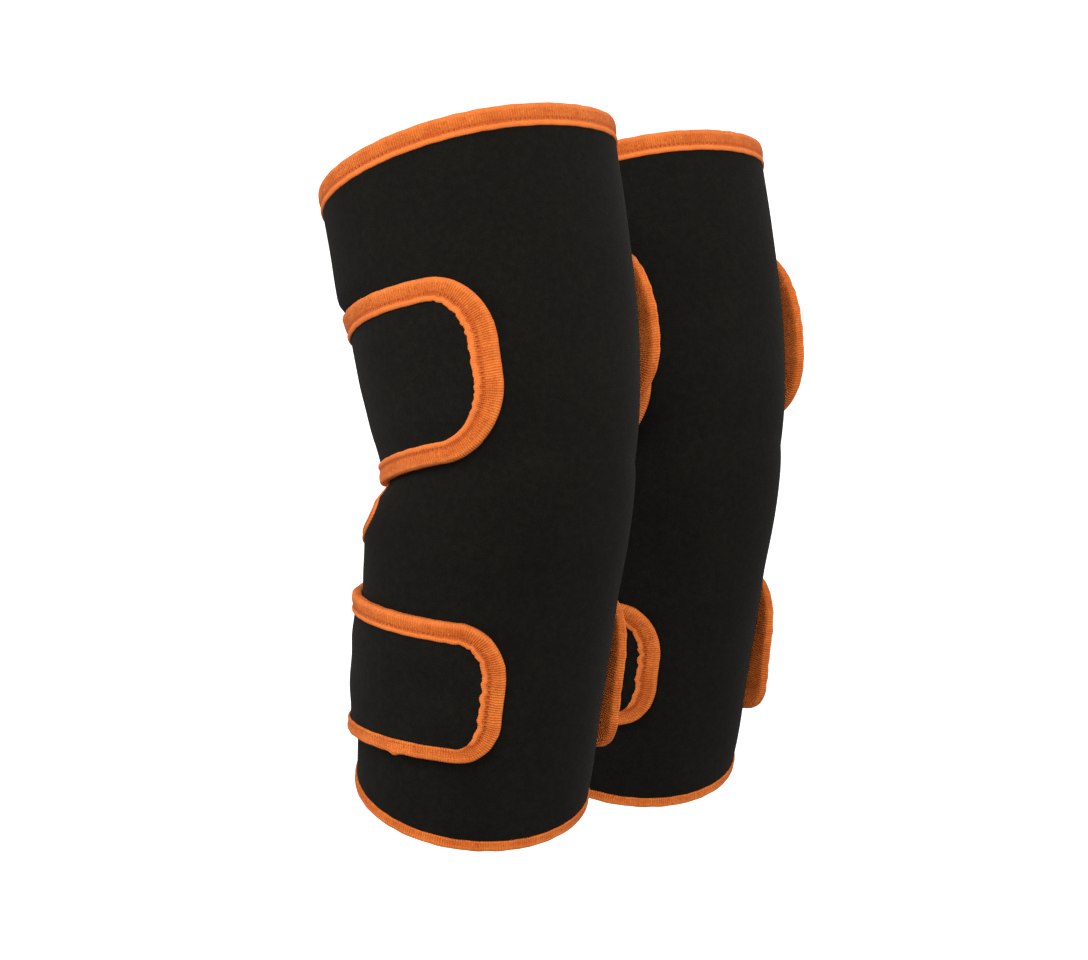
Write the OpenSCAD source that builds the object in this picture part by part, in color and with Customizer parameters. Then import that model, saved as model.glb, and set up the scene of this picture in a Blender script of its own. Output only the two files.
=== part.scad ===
// A pair of wrap-type knee pads: bent cloth sleeves with bound edges and strap tabs.
// Millimetres, +Z up. The wearer faces -Y. The origin is the knee centre of the right pad.
// Each sleeve is a tube about two straight axes, which meet at the knee centre.

/* [Pair] */
// Sideways distance between the two pads
pair_x = 179; // [175:1:260]
// How far the left pad stands behind the right one
pair_y = 84; // [60:1:110]
// How much higher the left pad stands
pair_z = 5; // [0:1:20]

/* [Sleeve] */
// Length from the knee centre to the top rim
thigh_len = 146; // [132:1:170]
// Length from the knee centre to the bottom rim
calf_len = 190; // [178:1:220]
// Angle at which the thigh part leans back
thigh_lean = 13; // [5:1:20]
// Angle at which the calf part runs back
calf_lean = 10; // [5:1:16]
// Outer radius of the thigh part
thigh_r = 79; // [72:0.5:84]
// Outer radius at the narrowest place, just below the knee centre
knee_r = 66.5; // [62:0.5:70]
// Outer radius of the fullest part below the knee
calf_r = 68; // [64:0.5:72]
// Outer radius at the bottom rim
ankle_r = 60.6; // [54:0.5:64]
// Thickness of the sleeve cloth
cloth = 5; // [4:0.5:6]

/* [Rims] */
// Angle by which the top rim rises toward the front
top_rise = 5.5; // [0:0.5:12]
// Angle by which the bottom rim drops toward the front
bottom_drop = 12.3; // [0:0.1:15]
// Angle by which the bottom rim drops toward the right side of the body
bottom_side_drop = 9.1; // [0:0.1:12]

/* [Binding tape] */
// Thickness of the folded tape
tape = 1; // [0.8:0.1:1.4]
// Width of the tape on one face of the cloth
tape_w = 11; // [8:0.5:14]
// Width of the narrow tape at the bottom rim
bottom_tape_w = 5; // [4:0.5:8]

/* [Tabs] */
// Thickness of the tab and band cloth
tab_cloth = 3; // [2:0.5:4]
// Height of the upper outer tab
upper_outer_h = 92; // [70:1:96]
// Height of the upper inner tab
upper_inner_h = 97; // [70:1:100]
// How much higher the upper inner tab starts than the upper outer tab
upper_lift = 17; // [0:1:18]
// Height of the lower outer tab
lower_outer_h = 73; // [56:1:74]
// Height of the lower inner tab
lower_inner_h = 76; // [56:1:77]
// How much higher the lower inner tab starts than the lower outer tab
lower_lift = 4; // [0:1:4]
// Place of the tip of the upper outer tab, as an angle round the leg from the front
upper_outer_tip = 38; // [30:1:60]
// Place of the tip of the lower outer tab, as an angle round the leg from the front
lower_outer_tip = 28; // [20:1:60]
// Place of the tip of each inner tab, as an angle round the leg from the front
inner_tip = 59; // [45:1:70]
// Radius of the rounded corners of the tabs
tab_corner = 25; // [15:1:28]

/* [Opening behind the knee] */
// Height of the opening
opening_h = 56; // [44:1:60]
// Angle round the leg from the middle of the opening to its side
opening_side = 58; // [40:1:62]

/* [Knee cushion] */
// Thickness of the foam insert inside the front of the sleeve
cushion_t = 7; // [4:0.5:10]
// Angle round the leg from the front to the side of the cushion
cushion_side = 44; // [30:1:50]

/* [Hidden] */
PARTS = ["thigh_shell", "knee_shell", "calf_shell", "knee_cushion", "top_binding", "bottom_binding",
         "back_opening_binding", "upper_back_band", "upper_back_band_binding", "lower_back_band",
         "lower_back_band_binding", "upper_outer_tab", "upper_outer_tab_binding",
         "upper_outer_tab_hook", "upper_inner_tab", "upper_inner_tab_binding", "upper_inner_tab_hook",
         "lower_outer_tab", "lower_outer_tab_binding", "lower_outer_tab_hook", "lower_inner_tab",
         "lower_inner_tab_binding", "lower_inner_tab_hook"];

black = [0.10, 0.10, 0.09];
orange = [0.84, 0.38, 0.13];
foam = [0.35, 0.35, 0.37];
hook = [0.2, 0.2, 0.2];
$fn = 96;
big = 400;                       // larger than the pad in every direction
waist_s = -23;                   // station of the narrowest place, along the leg axis
full_s = -50;                    // station of the fullest place below it
level_s = 100;                   // above this station the thigh part is straight
thigh_low = -22;                 // lower end of the thigh part
calf_high = -82;                 // upper end of the calf part
ring_step = 12;                  // spacing of the rings that shape a sleeve
root_angle = 140;                // where a tab grows out of its band, from the front
root_gap = 0.4;                  // angle between a tab's root and its band
hook_angle = 45;                 // how far a hook patch reaches back from the tip
free_gap = 0.3;                  // gap under and beside a tab, which moves
tab_out = free_gap + 2 * tape + tab_cloth;
band_out = 2 * tape + tab_cloth;
upper_low = -20;                 // lower edge of the upper outer tab, on the thigh axis
lower_low = -163.5;              // lower edge of the lower outer tab, on the calf axis
opening_s = -35;                 // middle of the opening behind the knee
opening_turn = 18;               // how far the opening's tape runs up each side, under the band
seam_gap = 0.6;                  // clearance between the opening's tape and the cloth
cushion_gap = 1.2;               // clearance between the cushion and the cloth
sides = 60;                      // facets round the free-form pieces
channel_end = [[0, 1, 7], [1, 2, 7], [2, 6, 7], [2, 3, 6], [3, 4, 6], [4, 5, 6]];  // cap of a channel
corner_step = 15;                // angle between the flats of a tab's rounded corner
skim = 0.3;                      // how far a corner's arc runs past the straight edge that it meets

// Limits of each tab on its leg axis: lower edge, upper edge
upper_outer = [upper_low, upper_low + upper_outer_h];
upper_inner = [upper_low + upper_lift, upper_low + upper_lift + upper_inner_h];
lower_outer = [lower_low, lower_low + lower_outer_h];
lower_inner = [lower_low + lower_lift, lower_low + lower_lift + lower_inner_h];

// Outer radius that the sleeve would have at station s if it were smooth
function smooth_r(s) =
    s >= level_s ? thigh_r
    : s >= waist_s ? knee_r + (thigh_r - knee_r) * sin(90 * (s - waist_s) / (level_s - waist_s))
    : s >= full_s ? knee_r + (calf_r - knee_r) * sin(90 * (waist_s - s) / (waist_s - full_s))
    : calf_r - (calf_r - ankle_r) * (1 - cos(90 * (full_s - s) / (full_s + calf_len)));

// Outer radius of the sleeve at station s along its axis, 0 at the knee centre: straight
// between rings a step apart, so that pieces that lie on the sleeve meet it exactly
function sleeve_r(s) =
    let (k = floor(s / ring_step), a = smooth_r(k * ring_step), b = smooth_r((k + 1) * ring_step))
    a + (b - a) * (s / ring_step - k);

// The two ends of a stretch of the sleeve and each ring between them
function stations(low, high) =
    concat([low], [for (k = [floor(low / ring_step) + 1:ceil(high / ring_step) - 1]) k * ring_step],
           [high]);

function backward(list) = [for (i = [len(list) - 1:-1:0]) list[i]];

// Ends of the knee part's centre line, and its directions there, in the YZ plane
knee_top = thigh_low * [sin(thigh_lean), cos(thigh_lean)];
knee_bottom = calf_high * [-sin(calf_lean), cos(calf_lean)];
top_way = [sin(thigh_lean), cos(thigh_lean)];
bottom_way = [-sin(calf_lean), cos(calf_lean)];

// Share of the way down the knee part at station s
function knee_share(s) = (thigh_low - s) / (thigh_low - calf_high);

// Centre of the sleeve at station s, and the way that its axis runs there, in the YZ plane
function centre(s) =
    s >= thigh_low ? s * top_way
    : s <= calf_high ? s * bottom_way
    : let (u = knee_share(s), reach = (thigh_low - calf_high) / 3,
           a = knee_top - reach * top_way, b = knee_bottom + reach * bottom_way)
      pow(1 - u, 3) * knee_top + 3 * pow(1 - u, 2) * u * a + 3 * (1 - u) * u * u * b
      + u * u * u * knee_bottom;
function lean(s) =
    s >= thigh_low ? thigh_lean
    : s <= calf_high ? -calf_lean
    : let (u = knee_share(s)) thigh_lean - (thigh_lean + calf_lean) * u * u * (3 - 2 * u);

// Point of the sleeve at angle t from the front, station s and distance d outside the cloth
function on_sleeve(t, s, d) =
    let (c = centre(s), l = lean(s), r = sleeve_r(s) + d)
    [r * sin(t), c[0] - r * cos(t) * cos(l), c[1] + r * cos(t) * sin(l)];

// Side walls between equal rings of points, with the ends joined to each other or left open
function walls(rings, size, closed) =
    [for (i = [0:rings - (closed ? 1 : 2)], j = [0:size - 1])
        let (n = (i + 1) % rings, k = (j + 1) % size)
        each [[i * size + j, n * size + j, n * size + k], [i * size + j, n * size + k, i * size + k]]];

module in_thigh() rotate([-thigh_lean, 0, 0]) children();
module in_calf() rotate([calf_lean, 0, 0]) children();

// A curved plate on the sleeve, between two angles, two stations and two distances outside it
module plate(from, to, low, high, inner, outer) {
    rotate([0, 0, from - 90]) rotate_extrude(angle = to - from)
        polygon(concat([for (s = stations(low, high)) [sleeve_r(s) + inner, s]],
                       [for (s = backward(stations(low, high))) [sleeve_r(s) + outer, s]]));
}

// A full tube of the sleeve
module tube(low, high, inner, outer) {
    rotate_extrude()
        polygon(concat([for (s = stations(low, high)) [sleeve_r(s) + inner, s]],
                       [for (s = backward(stations(low, high))) [sleeve_r(s) + outer, s]]));
}

// Everything above the top rim, moved along the axis
module above_top(by = 0)
    translate([0, 0, thigh_len + by]) rotate([-top_rise, 0, 0])
        translate([-big / 2, -big / 2, 0]) cube(big);

// Everything below the bottom rim, moved along the axis
module below_bottom(by = 0)
    translate([0, 0, -calf_len + by]) rotate([bottom_drop, -bottom_side_drop, 0])
        translate([-big / 2, -big / 2, -big]) cube(big);

// The opening behind the knee as a solid that reaches through the cloth
module opening_cutter() {
    near = -12;
    far = 20;
    rim = [for (i = [0:sides - 1]) 360 * i / sides];
    middle = [on_sleeve(180, opening_s, near), on_sleeve(180, opening_s, far)];
    points = concat([for (d = [near, far], a = rim) opening_point(a, 0, d)], middle);
    polyhedron(points, concat(
        [for (w = walls(2, sides, false)) w],
        [for (i = [0:sides - 1]) [2 * sides, i, (i + 1) % sides]],
        [for (i = [0:sides - 1]) [2 * sides + 1, sides + (i + 1) % sides, sides + i]]));
}

// Point round the opening at turn a, grown outward over the cloth, at distance d outside it
function opening_point(a, grow, d) =
    on_sleeve(180 + (opening_side + grow / sleeve_r(opening_s) * 180 / PI) * cos(a),
              opening_s + (opening_h / 2 + grow) * sin(a), d);

module thigh_shell() color(black)
    difference() {
        in_thigh() difference() {
            tube(thigh_low, thigh_len + 30, -cloth, 0);
            above_top();
        }
        opening_cutter();
    }

module calf_shell() color(black)
    in_calf() difference() {
        tube(-calf_len - 30, calf_high, -cloth, 0);
        below_bottom();
    }

module knee_shell() {
    rows = backward(stations(calf_high, thigh_low));
    ring = [for (i = [0:sides - 1]) 360 * i / sides];
    points = concat([for (s = rows, t = ring) on_sleeve(t, s, 0)],
                    [for (s = backward(rows), t = ring) on_sleeve(t, s, -cloth)]);
    color(black) difference() {
        polyhedron(points, walls(2 * len(rows), sides, true));
        opening_cutter();
    }
}

module knee_cushion() {
    low = -66;
    high = 26;
    rows = stations(low, high);
    cols = [for (i = [0:12]) -cushion_side + 2 * cushion_side * i / 12];
    size = 2 * len(cols);
    // The foam is thickest in the middle and thins out toward its edge
    function depth(t, s) = 1.5 + (cushion_t - 1.5) * cos(90 * t / cushion_side)
        * sin(180 * (s - low) / (high - low));
    points = [for (s = rows) each concat(
        [for (t = cols) on_sleeve(t, s, -cloth - cushion_gap)],
        [for (t = backward(cols)) on_sleeve(t, s, -cloth - cushion_gap - depth(t, s))])];
    color(foam) polyhedron(points, concat(walls(len(rows), size, false),
        [for (i = [0:len(cols) - 2]) each cushion_end(i, size, 0, false)],
        [for (i = [0:len(cols) - 2]) each cushion_end(i, size, (len(rows) - 1) * size, true)]));
}

// Two triangles that close one strip of the cushion's end
function cushion_end(i, size, start, top) =
    let (a = start + i, b = a + 1, c = start + size - 2 - i, d = c + 1)
    top ? [[a, d, c], [a, c, b]] : [[a, c, d], [a, b, c]];

module top_binding() color(orange) in_thigh() difference() {
    tube(thigh_len - 60, thigh_len + 40, -cloth - tape, tape);
    above_top(tape);
    difference() {
        tube(thigh_len - 70, thigh_len + 30, -cloth, 0);
        above_top();
    }
    difference() {
        translate([0, 0, thigh_len - 100]) cylinder(r = thigh_r * 2, h = 200);
        above_top(-tape_w);
    }
}

module bottom_binding() color(orange) in_calf() difference() {
    tube(-calf_len - 40, -calf_len + 60, -cloth - tape, tape);
    below_bottom(-tape);
    difference() {
        tube(-calf_len - 30, -calf_len + 70, -cloth, 0);
        below_bottom();
    }
    difference() {
        translate([0, 0, -calf_len - 100]) cylinder(r = calf_r * 2, h = 200);
        below_bottom(bottom_tape_w);
    }
}

// Tape folded round the edge of the opening: a channel swept from one side, round the bottom,
// to the other side. Its ends lie just under the lower edge of the upper band.
module back_opening_binding() {
    outside = seam_gap;
    inside = -cloth - seam_gap;
    channel = [[tape_w, outside], [tape_w, outside + tape], [-tape - seam_gap, outside + tape],
               [-tape - seam_gap, inside - tape], [tape_w, inside - tape], [tape_w, inside],
               [-seam_gap, inside], [-seam_gap, outside]];
    from = 180 - opening_turn;
    turn = 180 + 2 * opening_turn;
    points = [for (i = [0:sides], c = channel) opening_point(from + turn * i / sides, c[0], c[1])];
    last = sides * len(channel);
    color(orange) polyhedron(points, concat(walls(sides + 1, len(channel), false),
        [for (f = channel_end) f], [for (f = channel_end) [f[2] + last, f[1] + last, f[0] + last]]));
}

// Cuts one rounded corner of a tab: up is 1 or -1
module corner_cutter(angle, s, r, up)
    rotate([0, 0, angle - 90]) translate([0, 0, s]) rotate([90, 0, 90])
        linear_extrude(height = big / 2) mirror([1, 0]) mirror([0, up < 0 ? 1 : 0])
            polygon(concat([[0, r + 12], [r + 12, r + 12], [r + 12, 0]],
                           [for (a = [0:corner_step:90]) r * [cos(a), sin(a)]]));

// A tab's plate from its root to its tip, with edge taken off all round but at the root
module tab_plate(tip, limits, edge, inner, outer, root = root_angle) {
    turn = 180 / PI / sleeve_r((limits[0] + limits[1]) / 2);
    r = tab_corner - edge;
    end = tip + edge * turn;
    difference() {
        plate(end, root, limits[0] + edge, limits[1] - edge, inner, outer);
        corner_cutter(end + r * turn, limits[1] - edge - r + skim, r, 1);
        corner_cutter(end + r * turn, limits[0] + edge + r - skim, r, -1);
    }
}

// Tape folded over the free edges of a tab
module tab_tape(tip, limits) color(orange) difference() {
    tab_plate(tip, limits, 0, free_gap, tab_out);
    tab_plate(tip, limits, tape_w, 0, tab_out + 1, root_angle + 2);
    tab_plate(tip, limits, tape, free_gap + tape, tab_out - tape, root_angle + 2);
}

module tab_panel(tip, limits) color(black)
    tab_plate(tip, limits, tape, free_gap + tape, tab_out - tape);

// Hook patch under the end of a tab
module tab_hook(tip, limits) color(hook)
    tab_plate(tip, limits, tape_w + 2, free_gap, free_gap + tape, tip + hook_angle);

// Everything under a plane that passes through the roots of an outer and an inner tab, at
// those two stations and moved up by a distance
module under_line(outer_s, inner_s, by) {
    reach = 2 * knee_r * sin(root_angle);
    translate([0, 0, (outer_s + inner_s) / 2 + by]) rotate([0, -atan((inner_s - outer_s) / reach), 0])
        translate([-big / 2, -big / 2, -big]) cube(big);
}

// Part of the band across the back: between two lines, a distance above its lower edge and
// below its upper edge, and between two distances outside the sleeve
module band(outer, inner, above, below, near, far)
    difference() {
        intersection() {
            plate(root_angle + root_gap, 360 - root_angle - root_gap, outer[0] - big / 20,
                  inner[1] + big / 20, near, far);
            under_line(outer[1], inner[1], -below);
        }
        under_line(outer[0], inner[0], above);
    }

module band_panel(outer, inner) color(black)
    band(outer, inner, tape, tape, tape, band_out - tape);

// Tape folded over the two edges of a band
module band_tape(outer, inner) color(orange) difference() {
    band(outer, inner, 0, 0, 0, band_out);
    band(outer, inner, tape_w, tape_w, -1, band_out + 1);
    band(outer, inner, tape, tape, tape, band_out - tape);
}

// Outer tabs come round the right side of the leg (-X), inner tabs round the left side
module outer_side() mirror([1, 0, 0]) children();

module pad_part(part) {
    if (part == "thigh_shell") thigh_shell();
    if (part == "knee_shell") knee_shell();
    if (part == "calf_shell") calf_shell();
    if (part == "knee_cushion") knee_cushion();
    if (part == "top_binding") top_binding();
    if (part == "bottom_binding") bottom_binding();
    if (part == "back_opening_binding") back_opening_binding();
    if (part == "upper_back_band") in_thigh() band_panel(upper_outer, upper_inner);
    if (part == "upper_back_band_binding") in_thigh() band_tape(upper_outer, upper_inner);
    if (part == "lower_back_band") in_calf() band_panel(lower_outer, lower_inner);
    if (part == "lower_back_band_binding") in_calf() band_tape(lower_outer, lower_inner);
    if (part == "upper_outer_tab") in_thigh() outer_side() tab_panel(upper_outer_tip, upper_outer);
    if (part == "upper_outer_tab_binding")
        in_thigh() outer_side() tab_tape(upper_outer_tip, upper_outer);
    if (part == "upper_outer_tab_hook")
        in_thigh() outer_side() tab_hook(upper_outer_tip, upper_outer);
    if (part == "upper_inner_tab") in_thigh() tab_panel(inner_tip, upper_inner);
    if (part == "upper_inner_tab_binding") in_thigh() tab_tape(inner_tip, upper_inner);
    if (part == "upper_inner_tab_hook") in_thigh() tab_hook(inner_tip, upper_inner);
    if (part == "lower_outer_tab") in_calf() outer_side() tab_panel(lower_outer_tip, lower_outer);
    if (part == "lower_outer_tab_binding")
        in_calf() outer_side() tab_tape(lower_outer_tip, lower_outer);
    if (part == "lower_outer_tab_hook")
        in_calf() outer_side() tab_hook(lower_outer_tip, lower_outer);
    if (part == "lower_inner_tab") in_calf() tab_panel(inner_tip, lower_inner);
    if (part == "lower_inner_tab_binding") in_calf() tab_tape(inner_tip, lower_inner);
    if (part == "lower_inner_tab_hook") in_calf() tab_hook(inner_tip, lower_inner);
}

for (part = PARTS) {
    pad_part(part);
    translate([pair_x, pair_y, pair_z]) pad_part(part);
}
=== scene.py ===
"""A pair of wrap knee pads: sleeves of brushed black cloth, knitted orange tape and strap tabs."""

import math

import bpy
import numpy as np
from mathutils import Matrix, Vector


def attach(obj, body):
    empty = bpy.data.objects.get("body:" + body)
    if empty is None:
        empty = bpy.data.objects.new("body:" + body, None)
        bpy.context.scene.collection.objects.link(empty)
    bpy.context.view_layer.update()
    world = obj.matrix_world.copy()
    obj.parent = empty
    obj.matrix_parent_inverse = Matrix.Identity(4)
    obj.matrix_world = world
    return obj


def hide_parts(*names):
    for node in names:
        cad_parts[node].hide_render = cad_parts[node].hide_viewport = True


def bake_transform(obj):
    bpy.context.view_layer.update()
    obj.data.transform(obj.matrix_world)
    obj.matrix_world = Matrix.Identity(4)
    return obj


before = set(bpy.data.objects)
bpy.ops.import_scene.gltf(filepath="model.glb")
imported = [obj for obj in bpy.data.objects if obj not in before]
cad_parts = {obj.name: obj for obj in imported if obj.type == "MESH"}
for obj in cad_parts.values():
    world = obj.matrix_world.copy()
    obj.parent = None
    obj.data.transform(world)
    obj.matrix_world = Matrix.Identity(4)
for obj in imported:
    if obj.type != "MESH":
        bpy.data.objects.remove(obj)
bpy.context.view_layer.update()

# Sizes in millimetres and degrees. Each pad's own origin is its knee centre. A station is a length up
# the leg from there, and an angle goes round the leg from its front, positive toward +X.
MM = 0.001
PADS = {"right": (0.0, 0.0, 0.0), "left": (179.0, 84.0, 5.0)}
# How far each pad's rims stand from the plain planes: all round the top, at its front, at its inner side,
# and all round the bottom
RIMS = {"right": (0.0, 3.0, 6.5, -2.2), "left": (-1.8, 1.0, 4.5, -6.6)}

# The leg: stations of the two rims, how far the thigh and the calf lean, outer radii of the cloth
THIGH_LEN, CALF_LEN = 146.0, 190.0
THIGH_LEAN, CALF_LEAN = 13.0, 10.0
THIGH_R, KNEE_R, CALF_R, ANKLE_R = 79.0, 66.5, 68.0, 60.6
# Stations where the thigh is full, the knee narrowest and the calf full, and where each axis ends
LEVEL_S, WAIST_S, FULL_S = 100.0, -23.0, -50.0
THIGH_LOW, CALF_HIGH = -22.0, -82.0
# Slopes of the top rim, as an angle, and of the bottom rim, sideways and to the front
TOP_RISE = 5.5
BOTTOM_SLOPE_X, BOTTOM_SLOPE_Y = 0.1602, 0.2208

# The sleeve's cloth thickness, and the opening behind the knee
CLOTH = 5.0
OPENING_S, OPENING_HALF, OPENING_SIDE = -35.0, 28.0, 58.0
# Widths of the tapes on the top rim, the bottom rim and the opening
TOP_TAPE, BOTTOM_TAPE, OPENING_TAPE = 11.0, 5.0, 9.0
TAPE_STEP = 1.25

# Tabs and bands: angle of a tab's root, thickness of their cloth, height of its middle above the sleeve,
# and how far the cloth stays inside the edge of its tape
ROOT = 140.0
TAB_CLOTH = 3.0
TAB_MID = 2.8
TAB_INSET, BAND_INSET = 1.5, 1.0
# The cloth swells from this far inside its edge, over this length, and lies this much lower at the edge
PUFF_FROM, PUFF_OVER, PUFF_SINK = 9.0, 16.0, 0.35
# A tab's end comes off the sleeve over LIFT_OVER, starting LIFT_FROM before the tip
LIFT_FROM, LIFT_OVER, LIFT_POWER = 30.0, 36.0, 1.4
# Hook patch: angle it reaches back from the tip, its gap to the tape, thickness and height of its middle
HOOK_REACH, HOOK_GAP, HOOK_THICK, HOOK_MID = 45.0, 1.5, 0.9, 0.75

# Angle along a tab from its root to the end of the stretch next to the root
TAB_BEND = 18.0

# Foam insert: half its width as an angle, lowest and highest station, depth, gap to the cloth, and the
# most that a point may move when it swells
FOAM_SIDE, FOAM_LOW, FOAM_HIGH = 42.0, -64.0, 24.0
FOAM_DEPTH, FOAM_GAP, FOAM_SWELL = 6.2, 2.6, 1.1
SWELL_FRAMES = 20

# Each tab: stations of its lower and upper edge at the root and at the tip, angle of its tip from
# the front, radii of its corners (along the tab, up the leg), tape widths below, at the tip, above, how
# many times wider the tape is underneath, how far the tip stands off the sleeve, how that changes up
# the leg, and where along its lower edge the tape has a tuck (0 for none).
TABS = {
    "upper_outer": dict(segment="thigh", side=-1, tip=37.4, low=(-15.0, -20.2), high=(72.5, 71.8),
                        below=(36.0, 36.0), above=(29.5, 36.0), tape=(9.5, 12.6, 11.0), under=1.0,
                        flare=1.4, tilt=0.0, tuck=0.0, seed=1.0),
    "upper_inner": dict(segment="thigh", side=1, tip=60.0, low=(-3.0, 20.0), high=(94.0, 103.0),
                        below=(24.0, 30.0), above=(32.0, 48.0), tape=(9.5, 13.5, 10.5), under=1.8,
                        flare=7.0, tilt=-0.004, tuck=0.0, seed=2.0),
    "lower_outer": dict(segment="calf", side=-1, tip=28.6, low=(-164.6, -160.4), high=(-91.8, -88.9),
                        below=(20.0, 22.0), above=(23.0, 28.0), tape=(6.8, 9.8, 9.5), under=1.0,
                        flare=1.2, tilt=0.0, tuck=74.0, seed=3.0),
    "lower_inner": dict(segment="calf", side=1, tip=60.0, low=(-159.5, -168.0), high=(-83.5, -85.5),
                        below=(16.0, 20.0), above=(24.0, 34.0), tape=(7.5, 11.5, 9.5), under=1.1,
                        flare=5.6, tilt=-0.005, tuck=0.0, seed=4.0),
}

# Where the left pad's tabs lie a little differently from the right pad's
LEFT_TABS = {
    "upper_outer": dict(tip=44.5),
    "upper_inner": dict(tip=56.6, low=(-3.0, 4.0), high=(94.0, 100.0)),
    "lower_inner": dict(tip=57.0, high=(-83.5, -88.5), flare=7.5),
    "lower_outer": dict(tip=31.6, low=(-167.0, -164.0), high=(-97.0, -95.5), tuck=0.0),
}


# ---------------------------------------------------------------- the shape of the leg

def ease(x):
    """0 below 0, 1 above 1 and smooth between."""
    x = np.clip(x, 0.0, 1.0)
    return x * x * (3.0 - 2.0 * x)


def radius(s):
    """Outer radius of the sleeve at station s."""
    s = np.asarray(s, float)
    rise = np.sin(np.pi / 2 * np.clip((s - WAIST_S) / (LEVEL_S - WAIST_S), 0, 1))
    swell = np.sin(np.pi / 2 * np.clip((WAIST_S - s) / (WAIST_S - FULL_S), 0, 1))
    fall = 1 - np.cos(np.pi / 2 * np.clip((FULL_S - s) / (FULL_S + CALF_LEN), 0, 1.2))
    return np.where(s >= WAIST_S, KNEE_R + (THIGH_R - KNEE_R) * rise,
                    np.where(s >= FULL_S, KNEE_R + (CALF_R - KNEE_R) * swell,
                             CALF_R - (CALF_R - ANKLE_R) * fall))


def axis_point(s, degrees):
    """Y and Z of the point at station s on a straight axis that leans back by degrees."""
    return s * math.sin(math.radians(degrees)), s * math.cos(math.radians(degrees))


def centre(s):
    """Y and Z of the sleeve's middle line: two straight axes joined by a curve behind the knee."""
    s = np.asarray(s, float)
    u = np.clip((THIGH_LOW - s) / (THIGH_LOW - CALF_HIGH), 0, 1)
    reach = (THIGH_LOW - CALF_HIGH) / 3
    ends = [axis_point(THIGH_LOW, THIGH_LEAN), axis_point(THIGH_LOW - reach, THIGH_LEAN),
            axis_point(CALF_HIGH + reach, -CALF_LEAN), axis_point(CALF_HIGH, -CALF_LEAN)]
    shares = [(1 - u) ** 3, 3 * (1 - u) ** 2 * u, 3 * (1 - u) * u ** 2, u ** 3]
    out = []
    for k in (0, 1):
        curve = sum(share * end[k] for share, end in zip(shares, ends))
        above = axis_point(s, THIGH_LEAN)[k]
        below = axis_point(s, -CALF_LEAN)[k]
        out.append(np.where(s >= THIGH_LOW, above, np.where(s <= CALF_HIGH, below, curve)))
    return out


def lean(s):
    """Lean of the sleeve's middle line at station s, in radians."""
    u = ease((THIGH_LOW - np.asarray(s, float)) / (THIGH_LOW - CALF_HIGH))
    return np.radians(THIGH_LEAN - (THIGH_LEAN + CALF_LEAN) * u)


def hump(t, s, t0, s0, wide, high):
    """Smooth hill of height 1 at angle t0 and station s0."""
    turn = (np.asarray(t, float) - t0 + 180.0) % 360.0 - 180.0
    return np.exp(-(turn / wide) ** 2 - ((s - s0) / high) ** 2)


def relief(t, s):
    """How far the worn cloth stands out from, or sinks below, the plain sleeve."""
    kneecap = 2.6 * hump(t, s, 4, 4, 36, 30)
    below_cap = -1.3 * hump(t, s, 0, -44, 34, 15)
    shin = 1.4 * hump(t, s, 5, -90, 26, 34)
    sides = -0.9 * hump(t, s, -70, -28, 26, 20) - 3.6 * hump(t, s, 54, -38, 30, 26)
    behind = np.abs((np.asarray(t, float) + 180.0) % 360.0 - 180.0)
    pulled_in = -6.4 * ease((s + 26) / 10.0) * ease((84 - s) / 14.0) * ease((behind - 70) / 50.0)
    opened_out = 8.4 * (hump(t, s, -124, -40, 26, 24) + hump(t, s, 124, -40, 26, 24))
    rim = 1.8 * hump(t, s, -128, 135, 40, 26) + 2.4 * hump(t, s, 54, -182, 40, 34)
    a = np.radians(t)
    soft = 0.35 * np.sin(3 * a + s / 23.0) * np.cos(s / 31.0 + 1.0) + 0.22 * np.sin(5 * a - s / 14.0)
    return (kneecap + below_cap + shin + sides + pulled_in + opened_out + rim
            + soft * ease((150 - np.abs(s)) / 60.0))


def place(t, s, d):
    """Point at angle t from the front (positive toward +X), station s, distance d outside the cloth."""
    t, s, d = np.broadcast_arrays(np.asarray(t, float), np.asarray(s, float), np.asarray(d, float))
    y, z = centre(s)
    tilt, a = lean(s), np.radians(t)
    r = radius(s) + relief(t, s) + d
    forward = r * np.cos(a)
    return np.stack([r * np.sin(a), y - forward * np.cos(tilt), z + forward * np.sin(tilt)], axis=-1)


def top_station(t, pad):
    """Station of the top rim at angle t."""
    all_round, front, inner, _ = RIMS[pad]
    plane = THIGH_LEN + THIGH_R * np.cos(np.radians(t)) * math.tan(math.radians(TOP_RISE))
    return plane + all_round + front * hump(t, 0.0, 5, 0, 75, 1) + inner * hump(t, 0.0, 62, 0, 36, 1)


def bottom_station(t, pad):
    """Station of the bottom rim at angle t."""
    a = np.radians(t)
    return -CALF_LEN + RIMS[pad][3] + ANKLE_R * (BOTTOM_SLOPE_X * np.sin(a) - BOTTOM_SLOPE_Y * np.cos(a))


def wander(x, seed, pitch):
    """Smooth uneven wave between about -1 and 1 along a length x."""
    w = 2 * np.pi * x / pitch
    return 0.6 * np.sin(w + 1.7 * seed + 1.1 * np.sin(w / 4.3 + seed)) + 0.4 * np.sin(1.63 * w + 2.9 * seed)


# ---------------------------------------------------------------- meshes

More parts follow.
